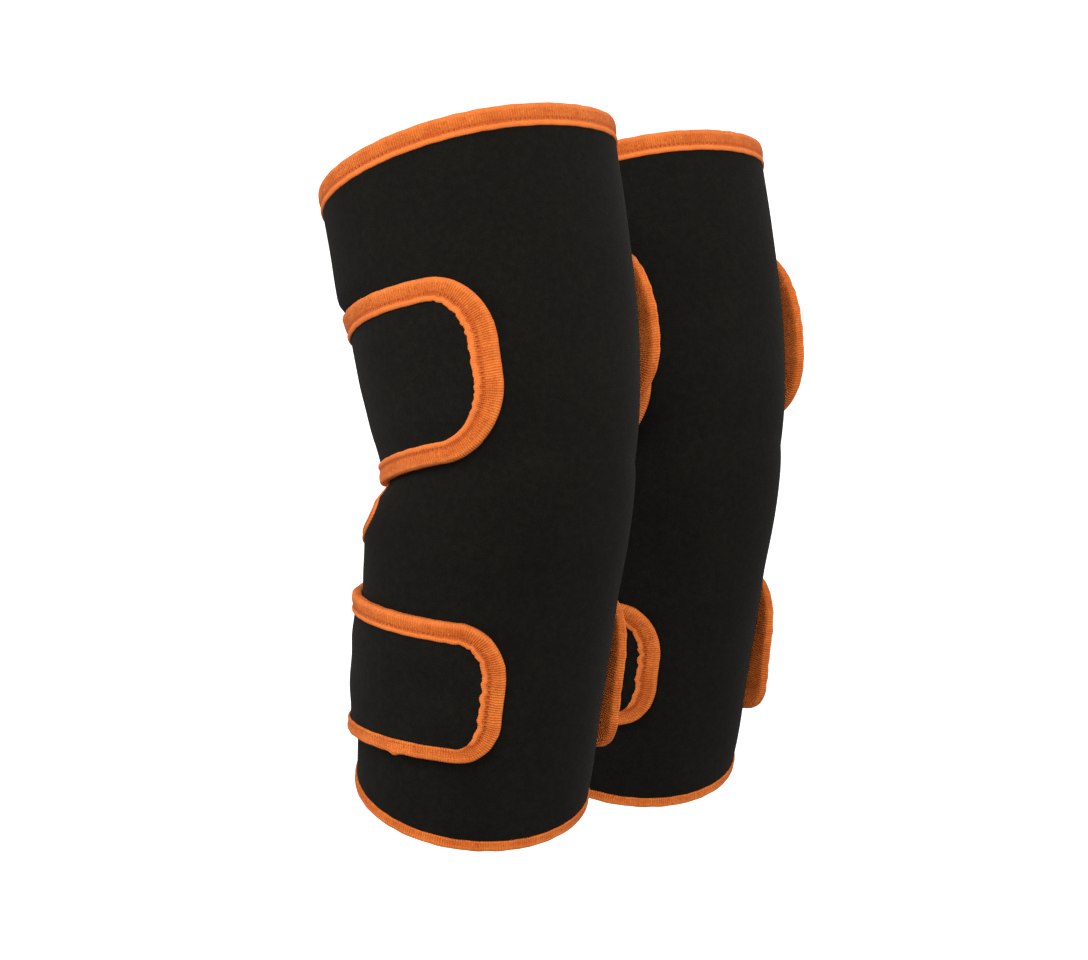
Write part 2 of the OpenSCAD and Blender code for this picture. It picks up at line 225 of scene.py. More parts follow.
class Patch:
    """Grids of points gathered into one mesh, with the lengths along and across each as its UV map."""

    def __init__(self):
        self.points, self.faces, self.uvs, self.count = [], [], [], 0

    def grid(self, points, along, across, wrap_rows=False, wrap_cols=False, keep=None, flip=False,
             caps=False):
        rows, cols = points.shape[:2]
        base = self.count
        self.points.append(points.reshape(-1, 3))
        self.count += rows * cols
        along = np.broadcast_to(along, (rows + wrap_rows, cols + wrap_cols))
        across = np.broadcast_to(across, (rows + wrap_rows, cols + wrap_cols))
        for i in range(rows if wrap_rows else rows - 1):
            for j in range(cols if wrap_cols else cols - 1):
                if keep is not None and not keep[i, j]:
                    continue
                corners = [(i, j), (i, j + 1), (i + 1, j + 1), (i + 1, j)]
                if flip:
                    corners.reverse()
                self.faces.append([base + (a % rows) * cols + b % cols for a, b in corners])
                self.uvs.extend((along[a, b], across[a, b]) for a, b in corners)
        if caps:
            for i, order in ((0, 1), (rows - 1, -1)):
                ring = list(range(cols))[::order if not flip else -order]
                self.faces.append([base + i * cols + j for j in ring])
                self.uvs.extend((along[i, j], across[i, j]) for j in ring)

    def build(self, name, offset, material):
        points = np.concatenate(self.points)
        used = np.zeros(len(points), bool)
        for face in self.faces:
            used[face] = True
        index = np.cumsum(used) - 1
        mesh = bpy.data.meshes.new(name)
        mesh.from_pydata(((points[used] + offset) * MM).tolist(), [],
                         [[int(index[k]) for k in face] for face in self.faces])
        layer = mesh.uv_layers.new(name="run")
        layer.data.foreach_set("uv", np.array(self.uvs, float).ravel())
        mesh.polygons.foreach_set("use_smooth", [True] * len(mesh.polygons))
        mesh.materials.append(material)
        mesh.update()
        obj = bpy.data.objects.new(name, mesh)
        bpy.context.scene.collection.objects.link(obj)
        return obj


def thicken(obj, thickness, offset):
    """Gives a sheet its thickness: offset 0 to both sides, -1 all behind it."""
    solid = obj.modifiers.new("thickness", "SOLIDIFY")
    solid.thickness = thickness * MM
    solid.offset = offset
    solid.use_quality_normals = True
    return obj


# Section of the folded tape: share of its width, extra length at full scale, side of the cloth
# (1 outer face, -1 inner face) and height above that face.
SECTION = [
    (1.00, 0.00, 1.0, 0.00), (1.00, -0.08, 1.0, 0.50), (1.00, -0.50, 1.0, 0.92), (1.00, -1.30, 1.0, 1.10),
    (1.00, -2.20, 1.0, 1.02), (0.73, 0.00, 1.0, 0.72), (0.66, 0.00, 1.0, 0.60), (0.59, 0.00, 1.0, 0.64),
    (0.51, 0.00, 1.0, 0.88), (0.40, 0.00, 1.0, 1.12), (0.26, 0.00, 1.0, 1.28), (0.12, 0.00, 1.0, 1.24),
    (0.00, -0.10, 1.0, 1.05), (0.00, -0.72, 1.0, 0.66), (0.00, -1.12, 1.0, 0.05), (0.00, -1.30, 0.4, 0.00),
    (0.00, -1.30, -0.4, 0.00), (0.00, -1.12, -1.0, 0.05), (0.00, -0.72, -1.0, 0.60), (0.10, 0.00, -1.0, 0.95),
    (0.40, 0.00, -1.0, 1.00), (0.75, 0.00, -1.0, 0.95), (1.00, -0.50, -1.0, 0.75), (1.00, 0.00, -1.0, 0.25),
    (1.00, 0.00, -1.0, 0.00), (0.50, 0.00, -1.0, 0.00), (0.00, 0.05, -1.0, 0.00), (0.00, 0.05, 1.0, 0.00),
    (0.50, 0.00, 1.0, 0.00),
]


def spread(path, widths, closed):
    """The same path with its points an even tape step apart: angles, stations, widths, lengths so far,
    the radius they are measured at and the whole length."""
    t, s = path
    if closed:
        t = np.append(t, t[0] + 360.0 * round((t[-1] - t[0]) / 360.0))
        s, widths = np.append(s, s[0]), np.append(widths, widths[0])
    r = float(np.mean(radius(s)))
    length = np.concatenate([[0], np.cumsum(np.hypot(np.diff(np.radians(t)) * r, np.diff(s)))])
    count = max(8, int(length[-1] / TAPE_STEP))
    at = np.linspace(0, length[-1], count + 1)
    if closed:
        at = at[:-1]
    even = [np.interp(at, length, values) for values in (t, s, widths)]
    return (*even, at, r, length[-1])


def binding(patch, path, widths, thick, middle, left, closed=False, lift=None, gather=None, low_under=None,
            seed=0.0, height=1.0, under=1.0, tuck=0.0):
    """Sweeps the folded tape along the edge of a piece of cloth. left: the cloth lies to the left of the
    path, seen from outside the leg with the angle growing to the right. thick and middle: the cloth's
    thickness and the height of its middle. gather: how puckered the lip is along the path."""
    t, s, w, at, r, total = spread(path, widths, closed)
    x, y = np.radians(t) * r, s
    if closed:
        turn = 2 * np.pi * r * round((x[-1] - x[0]) / (2 * np.pi * r))
        dx = np.roll(x, -1) - np.roll(x, 1)
        dx[0] += turn
        dx[-1] += turn
        dy = np.roll(y, -1) - np.roll(y, 1)
    else:
        dx, dy = np.gradient(x), np.gradient(y)
    size = np.hypot(dx, dy)
    sign = 1.0 if left else -1.0
    in_x, in_y = -sign * dy / size, sign * dx / size
    pull = np.zeros_like(at) if gather is None else gather(at / total)
    lip = pull * (0.45 * wander(at, seed, 10.5) + 0.28 * wander(at, seed + 4, 5.6) + 0.3)
    lip = lip + 0.12 * wander(at, seed + 5, 16.0)
    puff = 1 + 0.16 * pull * wander(at, seed + 2, 9.5) + 0.05 * wander(at, seed + 3, 12.0)
    edge = 0.16 * wander(at, seed + 7, 17.0) + 0.20 * pull * wander(at, seed + 9, 12.0)
    fold = np.exp(-((at - tuck) / 2.6) ** 2) if tuck else np.zeros_like(at)
    edge = edge - 1.3 * fold
    puff = puff * (1 + 0.5 * fold)
    flat = np.ones_like(at) if low_under is None else low_under(t, s)
    section = np.array(SECTION)
    in_groove = (section[:, 0] > 0.5) & (section[:, 0] < 0.8) & (section[:, 2] >= 1.0)
    section[section[:, 2] <= -1.0, 0] *= under
    scale = np.clip(w / 10.0, 0.45, 1.0)[:, None]
    share = section[None, :, 0]
    along_cloth = share * w[:, None] + section[None, :, 1] * scale
    along_cloth = along_cloth + np.where(share > 0.7, lip[:, None], 0.0) * (section[None, :, 3] >= 0)
    along_cloth = along_cloth + np.where(share < 0.3, edge[:, None], 0.0) * (section[None, :, 3] > 0)
    tall = section[None, :, 3] * height * puff[:, None] * flat[:, None]
    grooved = np.clip((w[:, None] - 7.2) / 2.0, 0, 1)
    tall = np.where(in_groove[None, :], 1.08 + (tall * (1.0 - 0.4 * pull[:, None]) - 1.08) * grooved, tall)
    up = np.where(np.abs(section[None, :, 2]) >= 1.0, np.sign(section[None, :, 2]) * (thick / 2 + tall),
                  section[None, :, 2] * thick / 2)
    px = x[:, None] + along_cloth * in_x[:, None]
    py = y[:, None] + along_cloth * in_y[:, None]
    angle = np.degrees(px / r)
    d = middle + up + (0.0 if lift is None else lift(angle, py))
    points = place(angle, py, d)
    across = np.where(section[:, 2] >= 1.0, section[:, 0] + section[:, 1] * 0.02, -0.3)
    across = np.append(across, across[0])[None, :]
    across = across * (0.45 + 0.55 * (grooved.mean() if closed else grooved))
    run = np.append(at, total)[:, None] if closed else at[:, None]
    patch.grid(points, run, across, wrap_rows=closed, wrap_cols=True, flip=not left, caps=not closed)


# ---------------------------------------------------------------- materials

def material(name):
    """A new node material, its nodes and its links."""
    mat = bpy.data.materials.new(name)
    mat.use_nodes = True
    return mat, mat.node_tree.nodes, mat.node_tree.links


def math_node(nodes, links, kind, a, b=None):
    """A sum, product or sine. a and b are sockets or numbers."""
    node = nodes.new("ShaderNodeMath")
    node.operation = kind
    for socket, value in zip(node.inputs, (a, b)):
        if value is None:
            continue
        if isinstance(value, (int, float)):
            socket.default_value = value
        else:
            links.new(value, socket)
    return node.outputs[0]


def noise_node(nodes, links, vector, scale, detail, rough):
    """Noise from 0 to 1 with the given number of bumps in a metre."""
    node = nodes.new("ShaderNodeTexNoise")
    node.inputs["Scale"].default_value = scale
    node.inputs["Detail"].default_value = detail
    node.inputs["Roughness"].default_value = rough
    links.new(vector, node.inputs["Vector"])
    return node.outputs["Fac"]


def ramp_node(nodes, links, value, low, high, low_to=0.0, high_to=1.0):
    """Smooth step from low_to at low to high_to at high."""
    node = nodes.new("ShaderNodeMapRange")
    node.interpolation_type = "SMOOTHSTEP"
    links.new(value, node.inputs["Value"])
    for key, number in (("From Min", low), ("From Max", high), ("To Min", low_to), ("To Max", high_to)):
        node.inputs[key].default_value = number
    return node.outputs[0]


def mix_colour(nodes, links, share, a, b):
    """Colour a where share is 0 and b where it is 1. Each is a socket or a colour."""
    node = nodes.new("ShaderNodeMix")
    node.data_type = "RGBA"
    links.new(share, node.inputs[0])
    for socket, value in ((node.inputs[6], a), (node.inputs[7], b)):
        if isinstance(value, tuple):
            socket.default_value = (*value, 1.0)
        else:
            links.new(value, socket)
    return node.outputs[2]


def bump_node(nodes, links, height, distance, strength, normal=None):
    """Normal of a surface raised by up to distance mm, over an earlier normal if there is one."""
    node = nodes.new("ShaderNodeBump")
    node.inputs["Strength"].default_value = strength
    node.inputs["Distance"].default_value = distance * MM
    links.new(height, node.inputs["Height"])
    if normal is not None:
        links.new(normal, node.inputs["Normal"])
    return node.outputs[0]


def run_axes(nodes, links):
    """The lengths along and across, and the point itself."""
    uv = nodes.new("ShaderNodeUVMap")
    uv.uv_map = "run"
    split = nodes.new("ShaderNodeSeparateXYZ")
    links.new(uv.outputs[0], split.inputs[0])
    point = nodes.new("ShaderNodeTexCoord").outputs["Object"]
    return split.outputs[0], split.outputs[1], point


def wave(nodes, links, value, pitch):
    """0 to 1 and back once in each pitch."""
    turned = math_node(nodes, links, "MULTIPLY", value, 2 * math.pi / pitch)
    sine = math_node(nodes, links, "SINE", turned)
    return math_node(nodes, links, "ADD", math_node(nodes, links, "MULTIPLY", sine, 0.5), 0.5)


def cloth_material(name, dark, light, knit):
    """Brushed knit: fine ribs in both directions under a short nap."""
    mat, nodes, links = material(name)
    skin = nodes["Principled BSDF"]
    along, across, point = run_axes(nodes, links)
    courses = wave(nodes, links, across, knit)
    wales = wave(nodes, links, along, knit * 1.3)
    cells = math_node(nodes, links, "MULTIPLY", courses, wales)
    nap = noise_node(nodes, links, point, 1500.0, 3.0, 0.7)
    worn = noise_node(nodes, links, point, 38.0, 4.0, 0.6)
    clumps = noise_node(nodes, links, point, 270.0, 3.0, 0.65)
    tone = math_node(nodes, links, "ADD", math_node(nodes, links, "MULTIPLY", nap, 0.5),
                     math_node(nodes, links, "MULTIPLY", worn, 0.3))
    tone = math_node(nodes, links, "ADD", tone, math_node(nodes, links, "MULTIPLY", clumps, 0.35))
    tone = ramp_node(nodes, links, tone, 0.40, 0.85)
    links.new(mix_colour(nodes, links, tone, dark, light), skin.inputs["Base Color"])
    links.new(ramp_node(nodes, links, worn, 0.3, 0.7, 0.82, 0.95), skin.inputs["Roughness"])
    skin.inputs["Specular IOR Level"].default_value = 0.05
    skin.inputs["Sheen Weight"].default_value = 0.025
    skin.inputs["Sheen Roughness"].default_value = 0.45
    skin.inputs["Sheen Tint"].default_value = (0.80, 0.78, 0.70, 1.0)
    first = bump_node(nodes, links, cells, 0.10, 0.6)
    links.new(bump_node(nodes, links, nap, 0.16, 0.7, first), skin.inputs["Normal"])
    return mat


def tape_material(name):
    """Knitted elastic tape: ribs across it, a sewn groove with its stitches and a smooth inner lip, with
    painted shade between the ribs and in the groove and a painted highlight along the folded edge.
    """
    mat, nodes, links = material(name)
    skin = nodes["Principled BSDF"]
    along, across, point = run_axes(nodes, links)
    waver = noise_node(nodes, links, point, 160.0, 2.0, 0.5)
    bent = math_node(nodes, links, "ADD", along, math_node(nodes, links, "MULTIPLY", waver, 0.9))
    ribs = wave(nodes, links, bent, 1.35)
    loops = wave(nodes, links, math_node(nodes, links, "ADD", across,
                                         math_node(nodes, links, "MULTIPLY", ribs, 0.02)), 0.085)
    fuzz = noise_node(nodes, links, point, 1400.0, 3.0, 0.7)
    patchy = noise_node(nodes, links, point, 75.0, 3.0, 0.6)
    grainy = noise_node(nodes, links, point, 620.0, 2.0, 0.75)
    # Darker in the sewn groove: painted shade in the groove
    groove = math_node(nodes, links, "MULTIPLY", ramp_node(nodes, links, across, 0.50, 0.58),
                       ramp_node(nodes, links, across, 0.76, 0.68))
    lip = ramp_node(nodes, links, across, 0.74, 0.84)
    # Lighter along the tape's folded edge: a painted highlight on the round of the fold
    outer = math_node(nodes, links, "MULTIPLY", ramp_node(nodes, links, across, -0.2, 0.0),
                      ramp_node(nodes, links, across, 0.20, 0.08))
    stitch_line = math_node(nodes, links, "MULTIPLY", ramp_node(nodes, links, across, 0.595, 0.615),
                            ramp_node(nodes, links, across, 0.70, 0.68))
    stitches = math_node(nodes, links, "MULTIPLY", stitch_line,
                         ramp_node(nodes, links, wave(nodes, links, bent, 2.7), 0.55, 0.80))
    stitches = math_node(nodes, links, "MULTIPLY", stitches, ramp_node(nodes, links, patchy, 0.40, 0.60))
    base = mix_colour(nodes, links, ramp_node(nodes, links, patchy, 0.30, 0.72), (0.575, 0.118, 0.017),
                      (0.745, 0.181, 0.028))
    light_grains = ramp_node(nodes, links, grainy, 0.58, 0.74, 0.0, 0.6)
    base = mix_colour(nodes, links, light_grains, base, (0.95, 0.30, 0.05))
    dark_grains = ramp_node(nodes, links, grainy, 0.44, 0.28, 0.0, 0.7)
    base = mix_colour(nodes, links, dark_grains, base, (0.40, 0.05, 0.006))
    # Darker between the ribs: painted shade in the troughs of the knit
    painted_rib_shade = ramp_node(nodes, links, ribs, 0.45, 0.0)
    # Painted shade between the ribs and in the groove, and a painted highlight along the folded edge, mixed
    # over the tape's colour
    for where, share, colour in ((painted_rib_shade, 0.42, (0.40, 0.055, 0.007)),
                                 (lip, 0.55, (0.80, 0.195, 0.038)),
                                 (outer, 0.35, (0.90, 0.23, 0.045)),
                                 (groove, 0.38, (0.40, 0.042, 0.006)),
                                 (stitches, 0.45, (0.14, 0.016, 0.004))):
        base = mix_colour(nodes, links, math_node(nodes, links, "MULTIPLY", where, share), base, colour)
    links.new(base, skin.inputs["Base Color"])
    links.new(ramp_node(nodes, links, fuzz, 0.3, 0.7, 0.62, 0.80), skin.inputs["Roughness"])
    skin.inputs["Specular IOR Level"].default_value = 0.12
    skin.inputs["Sheen Weight"].default_value = 0.06
    skin.inputs["Sheen Roughness"].default_value = 0.4
    skin.inputs["Sheen Tint"].default_value = (1.0, 0.62, 0.40, 1.0)
    ribbed = math_node(nodes, links, "MULTIPLY", ribs, ramp_node(nodes, links, lip, 0.0, 1.0, 1.0, 0.35))
    first = bump_node(nodes, links, ribbed, 0.42, 0.9)
    second = bump_node(nodes, links, loops, 0.10, 0.5, first)
    third = bump_node(nodes, links, stitches, -0.35, 0.8, second)
    links.new(bump_node(nodes, links, fuzz, 0.14, 0.6, third), skin.inputs["Normal"])
    return mat


def hook_material(name):
    """Hook tape: rows of tiny stiff hooks on a plain backing."""
    mat, nodes, links = material(name)
    skin = nodes["Principled BSDF"]
    along, across, point = run_axes(nodes, links)
    dots = math_node(nodes, links, "MULTIPLY", wave(nodes, links, along, 1.6),
                     wave(nodes, links, across, 1.2))
    grain = noise_node(nodes, links, point, 900.0, 2.0, 0.6)
    links.new(mix_colour(nodes, links, ramp_node(nodes, links, dots, 0.3, 0.8), (0.010, 0.010, 0.010),
                         (0.045, 0.045, 0.045)), skin.inputs["Base Color"])
    skin.inputs["Roughness"].default_value = 0.55
    skin.inputs["Specular IOR Level"].default_value = 0.4
    first = bump_node(nodes, links, dots, 0.9, 1.0)
    links.new(bump_node(nodes, links, grain, 0.1, 0.5, first), skin.inputs["Normal"])
    return mat


def foam_material(name):
    """Cut grey foam with open cells, painted darker in each cell as shade in the pores."""
    mat, nodes, links = material(name)
    skin = nodes["Principled BSDF"]
    point = nodes.new("ShaderNodeTexCoord").outputs["Object"]
    cells = nodes.new("ShaderNodeTexVoronoi")
    cells.inputs["Scale"].default_value = 900.0
    links.new(point, cells.inputs["Vector"])
    # Darker in the middle of each cell: painted shade in the open pores; the same pattern dents the surface
    pores_and_painted_shade = ramp_node(nodes, links, cells.outputs["Distance"], 0.05, 0.45)
    worn = noise_node(nodes, links, point, 45.0, 3.0, 0.6)
    tone = math_node(nodes, links, "MULTIPLY", pores_and_painted_shade, ramp_node(nodes, links, worn, 0.2, 0.8, 0.7, 1.0))
    links.new(mix_colour(nodes, links, tone, (0.045, 0.045, 0.05), (0.11, 0.11, 0.12)),
              skin.inputs["Base Color"])
    skin.inputs["Roughness"].default_value = 0.9
    skin.inputs["Sheen Weight"].default_value = 0.1
    links.new(bump_node(nodes, links, pores_and_painted_shade, 0.4, 0.8), skin.inputs["Normal"])
    return mat


BLACK = cloth_material("black_cloth", (0.0044, 0.0040, 0.0032), (0.0110, 0.0100, 0.0080), 0.85)
BLACK_TAB = cloth_material("black_tab_cloth", (0.0048, 0.0044, 0.0036), (0.0122, 0.0112, 0.0090), 1.1)
ORANGE = tape_material("orange_tape")
HOOK = hook_material("hook_tape")
FOAM = foam_material("grey_foam")


# ---------------------------------------------------------------- one pad's pieces

def sleeve_patch(pad):
    """The sleeve from rim to rim. Round the opening the grid is drawn out to the opening's edge."""
    cols, rows = 192, 113
    # The hole leaves out this many cells to each side of the middle column and of its middle row, and the
    # grid is drawn out up to 1 / ring times as far
    mid_row, hole_cols, hole_rows, ring = 50, 20, 8, 0.5

    def base(i, j):
        """Angle and station of a point of the plain grid."""
        t = i * 360.0 / cols
        low, high = bottom_station(t, pad), top_station(t, pad)
        return t, low + (high - low) * j / (rows - 1)

    i, j = np.meshgrid(np.arange(cols), np.arange(rows), indexing="ij")
    t, s = base(i.astype(float), j.astype(float))
    x = (i - cols / 2) / (hole_cols / ring)
    y = (j - mid_row) / (hole_rows / ring)
    q = np.maximum(np.abs(x), np.abs(y))
    safe = np.where(q > 0, q, 1)
    edge_t, edge_s = base(cols / 2 + x / safe * hole_cols / ring, mid_row + y / safe * hole_rows / ring)
    turn = np.arctan2(y, x)
    hole_t = 180 + OPENING_SIDE * np.cos(turn)
    hole_s = OPENING_S + OPENING_HALF * np.sin(turn)
    share = np.clip((q - ring) / (1 - ring), 0, 1)
    t = np.where(q < 1, hole_t + (edge_t - hole_t) * share, t)
    s = np.where(q < 1, hole_s + (edge_s - hole_s) * share, s)
    ii, jj = np.meshgrid(np.arange(cols), np.arange(rows - 1), indexing="ij")
    cell_x = (ii + 0.5 - cols / 2) / hole_cols
    cell_y = (jj + 0.5 - mid_row) / hole_rows
    keep = np.maximum(np.abs(cell_x), np.abs(cell_y)) > 1
    patch = Patch()
    full_t = np.concatenate([t, t[:1] + 360.0])
    full_s = np.concatenate([s, s[:1]])
    patch.grid(place(t, s, 0.0), np.radians(full_t) * KNEE_R, full_s, wrap_rows=True, keep=keep, flip=True)
    return patch


def rim_patch(station, pad, width, left, seed):
    """Tape round a rim."""
    turn = np.arange(0, 360, 1.5)
    patch = Patch()
    binding(patch, (turn, station(turn, pad)), np.full(len(turn), width), CLOTH, -CLOTH / 2, left,
            closed=True, seed=seed)
    return patch


def opening_patch(tabs):
    """Tape round the opening. It lies flatter where the upper band covers it."""
    a = np.linspace(0, 2 * np.pi, 240, endpoint=False)
    path = (180 + OPENING_SIDE * np.cos(a), OPENING_S + OPENING_HALF * np.sin(a))

    def low_under(t, s):
        return 1.0 - 0.75 * ease((s - band_line(tabs, "upper", "low", t) + 2.0) / 5.0)

    patch = Patch()
    binding(patch, path, np.full(len(a), OPENING_TAPE), CLOTH, -CLOTH / 2, False, closed=True,
            low_under=low_under, seed=6.0)
    return patch


def band_line(tabs, level, edge, t):
    """Station of a band's edge behind the leg, between the roots of its two tabs."""
    share = (np.asarray(t, float) - ROOT) / (360.0 - 2 * ROOT)
    inner, outer = tabs[level + "_inner"][edge][0], tabs[level + "_outer"][edge][0]
    return inner + (outer - inner) * np.clip(share, 0, 1)


def band_cloth(tabs, level):
    """The band's cloth, swelled a little between its tapes."""
    t = np.linspace(ROOT, 360 - ROOT, 56)[:, None]
    v = np.linspace(0, 1, 40)[None, :]
    low = band_line(tabs, level, "low", t) + BAND_INSET
    high = band_line(tabs, level, "high", t) - BAND_INSET
    s = low + (high - low) * v
    room = np.minimum(s - low, high - s)
    uneven = 0.9 + 0.3 * wander(s + 3 * np.radians(t), 2.0, 34.0)
    puff = ease((room - PUFF_FROM) / PUFF_OVER) * uneven - PUFF_SINK
    patch = Patch()
    patch.grid(place(t + 0 * s, s, TAB_MID + puff), np.radians(t) * KNEE_R + 0 * s, s, flip=True)
    return patch


def band_tapes(tabs, level):
    """The band's lower and upper tape. They keep the same widths as the tabs' tapes where they meet."""
    patch = Patch()
    past_root = 0.3
    t = np.linspace(ROOT - past_root, 360 - ROOT + past_root, 90)
    share = np.linspace(0, 1, len(t))
    for edge, k, left in (("low", 0, True), ("high", 2, False)):
        inner, outer = tabs[level + "_inner"]["tape"][k], tabs[level + "_outer"]["tape"][k]
        binding(patch, (t, band_line(tabs, level, edge, t)), inner + (outer - inner) * share, TAB_CLOTH,
                TAB_MID, left, seed=8.0 + k)
    return patch


class Tab:
    """One tab, laid out flat: x runs from its root to its tip, s is the station up the leg."""

    def __init__(self, spec):
        self.spec = spec
        self.middle = (spec["low"][0] + spec["high"][0]) / 2
        self.r = float(radius(self.middle))
        self.reach = math.radians(ROOT - spec["tip"]) * self.r

    def angle(self, x):
        """Angle round the leg of a length x from the root."""
        return self.spec["side"] * (ROOT - np.degrees(np.asarray(x, float) / self.r))

    def line(self, edge, x):
        """Station of the lower or upper edge, before its corner is rounded."""
        at_root, at_tip = self.spec[edge]
        return at_root + (at_tip - at_root) * np.clip(np.asarray(x, float) / self.reach, 0, 1)

    def lift(self, t, s):
        """How far the tab's end stands off the sleeve beneath it."""
        x = math.radians(1) * (ROOT - self.spec["side"] * t) * self.r
        free = ease((x - self.reach + LIFT_FROM) / LIFT_OVER)
        up = s - self.middle
        sway = 1.0 + self.spec["tilt"] * up + 0.08 * np.sin(up / 17.0 + self.spec["seed"])
        return self.spec["flare"] * free ** LIFT_POWER * sway

    def outline(self):
        """Angles, stations and tape widths from the root's lower end round the tip to its upper end."""
        below, above, (w_low, w_tip, w_high) = self.spec["below"], self.spec["above"], self.spec["tape"]
        arc = np.radians(np.linspace(0, 90, 24))
        x_low = np.linspace(0, self.reach - below[0], 30)
        foot = self.line("low", self.reach - below[0]) + below[1]
        head = self.line("high", self.reach - above[0]) - above[1]
        tip_s = np.linspace(foot, head, 14)[1:-1]
        x_high = np.linspace(self.reach - above[0], 0, 30)
        x = np.concatenate([x_low[:-1], self.reach - below[0] + below[0] * np.sin(arc),
                            np.full(len(tip_s), self.reach),
                            self.reach - above[0] + above[0] * np.cos(arc), x_high[1:]])
        s = np.concatenate([self.line("low", x_low[:-1]), foot - below[1] * np.cos(arc), tip_s,
                            head + above[1] * np.sin(arc), self.line("high", x_high[1:])])
        widen = ease(np.linspace(0, 1.2, len(arc)))
        w = np.concatenate([np.full(len(x_low) - 1, w_low), w_low + (w_tip - w_low) * widen,
                            np.full(len(tip_s), w_tip), w_high + (w_tip - w_high) * widen[::-1],
                            np.full(len(x_high) - 1, w_high)])
        return self.angle(x), s, w

    def grid(self, inset, start, cols, rows):
        """Developed points of the tab's face, kept inset from its free edges, from x = start."""
        v = np.linspace(0, 1, rows)[None, :]
        u = np.linspace(0, 1, cols)[:, None] ** 0.85
        below, above = self.spec["below"], self.spec["above"]
        x = np.broadcast_to(start + (self.reach - inset - start) * u, (cols, rows))
        for _ in range(6):
            low, high = self.line("low", x) + inset, self.line("high", x) - inset
            s = low + (high - low) * v
            down = np.clip((low + below[1] - inset - s) / (below[1] - inset), 0, 1)
            upper = np.clip((s - high + above[1] - inset) / (above[1] - inset), 0, 1)
            back_low = (below[0] - inset) * (1 - np.sqrt(1 - down ** 2))
            back_high = (above[0] - inset) * (1 - np.sqrt(1 - upper ** 2))
            x = start + (self.reach - inset - (back_low + back_high) - start) * u
        return x, s

    def cloth(self):
        """The tab's cloth, swelled a little inside its tape."""
        x, s = self.grid(TAB_INSET, 0.0, 80, 60)
        t = self.angle(x)
        low, high = self.line("low", x), self.line("high", x)
        end = x[-1:, :]
        room = np.minimum(np.minimum(s - low, high - s), end - x)
        uneven = 0.9 + 0.30 * wander(s + 0.4 * x, self.spec["seed"], 41.0)
        puff = ease((room - PUFF_FROM) / PUFF_OVER) * uneven - PUFF_SINK
        patch = Patch()
        patch.grid(place(t, s, TAB_MID + puff + self.lift(t, s)), x, s, flip=self.spec["side"] > 0)
        return patch

    def tape(self):
        """The tape round the tab's free edges, gathered round its tip."""
        t, s, w = self.outline()

        def gather(share):
            return ease((share - 0.34) / 0.12) * ease((0.72 - share) / 0.12)

        patch = Patch()
        binding(patch, (t, s), w, TAB_CLOTH, TAB_MID, self.spec["side"] < 0, lift=self.lift, gather=gather,
                seed=self.spec["seed"], height=1.08, under=self.spec["under"], tuck=self.spec["tuck"])
        return patch

    def hook(self):
        """The hook patch under the tab's end, inside its tape."""
        inset = max(self.spec["tape"]) * self.spec["under"] + HOOK_GAP
        x, s = self.grid(inset, self.reach - math.radians(HOOK_REACH) * self.r, 40, 40)
        t = self.angle(x)
        patch = Patch()
        patch.grid(place(t, s, HOOK_MID + self.lift(t, s)), x, s, flip=self.spec["side"] > 0)
        return patch

    def hinge(self, offset):
        """Ends of the stretch next to the tab's root, TAB_BEND degrees along the tab."""
        side = self.spec["side"]
        start = place(side * ROOT, self.middle, TAB_MID)
        end = place(side * (ROOT - TAB_BEND), self.middle, TAB_MID)
        return tuple((start + offset) * MM), tuple((end + offset) * MM)


def cushion_shape():
    """Foam insert in front of the knee: a closed shell, thickest in the middle."""
    u = np.linspace(-1, 1, 44)[:, None]
    v = np.linspace(-1, 1, 46)[None, :]
    round_u = u * np.sqrt(1 - 0.34 * v ** 2)
    round_v = v * np.sqrt(1 - 0.34 * u ** 2)
    t = FOAM_SIDE * round_u
    s = (FOAM_LOW + FOAM_HIGH) / 2 + (FOAM_HIGH - FOAM_LOW) / 2 * round_v
    rim = np.clip(1 - np.maximum(np.abs(u), np.abs(v)) ** 8, 0, 1) ** 0.5
    depth = FOAM_DEPTH * rim * (0.66 + 0.34 * np.cos(np.pi / 2 * u) * np.cos(np.pi / 2 * v))
    front = place(t, s, -CLOTH - FOAM_GAP + 0.9 * rim)
    back = place(t, s, -CLOTH - FOAM_GAP + 0.9 * rim - depth)
    patch = Patch()
    patch.grid(front, t * 1.1, s + 0 * u, flip=True)
    patch.grid(back, t * 1.1, s + 0 * u)
    return patch


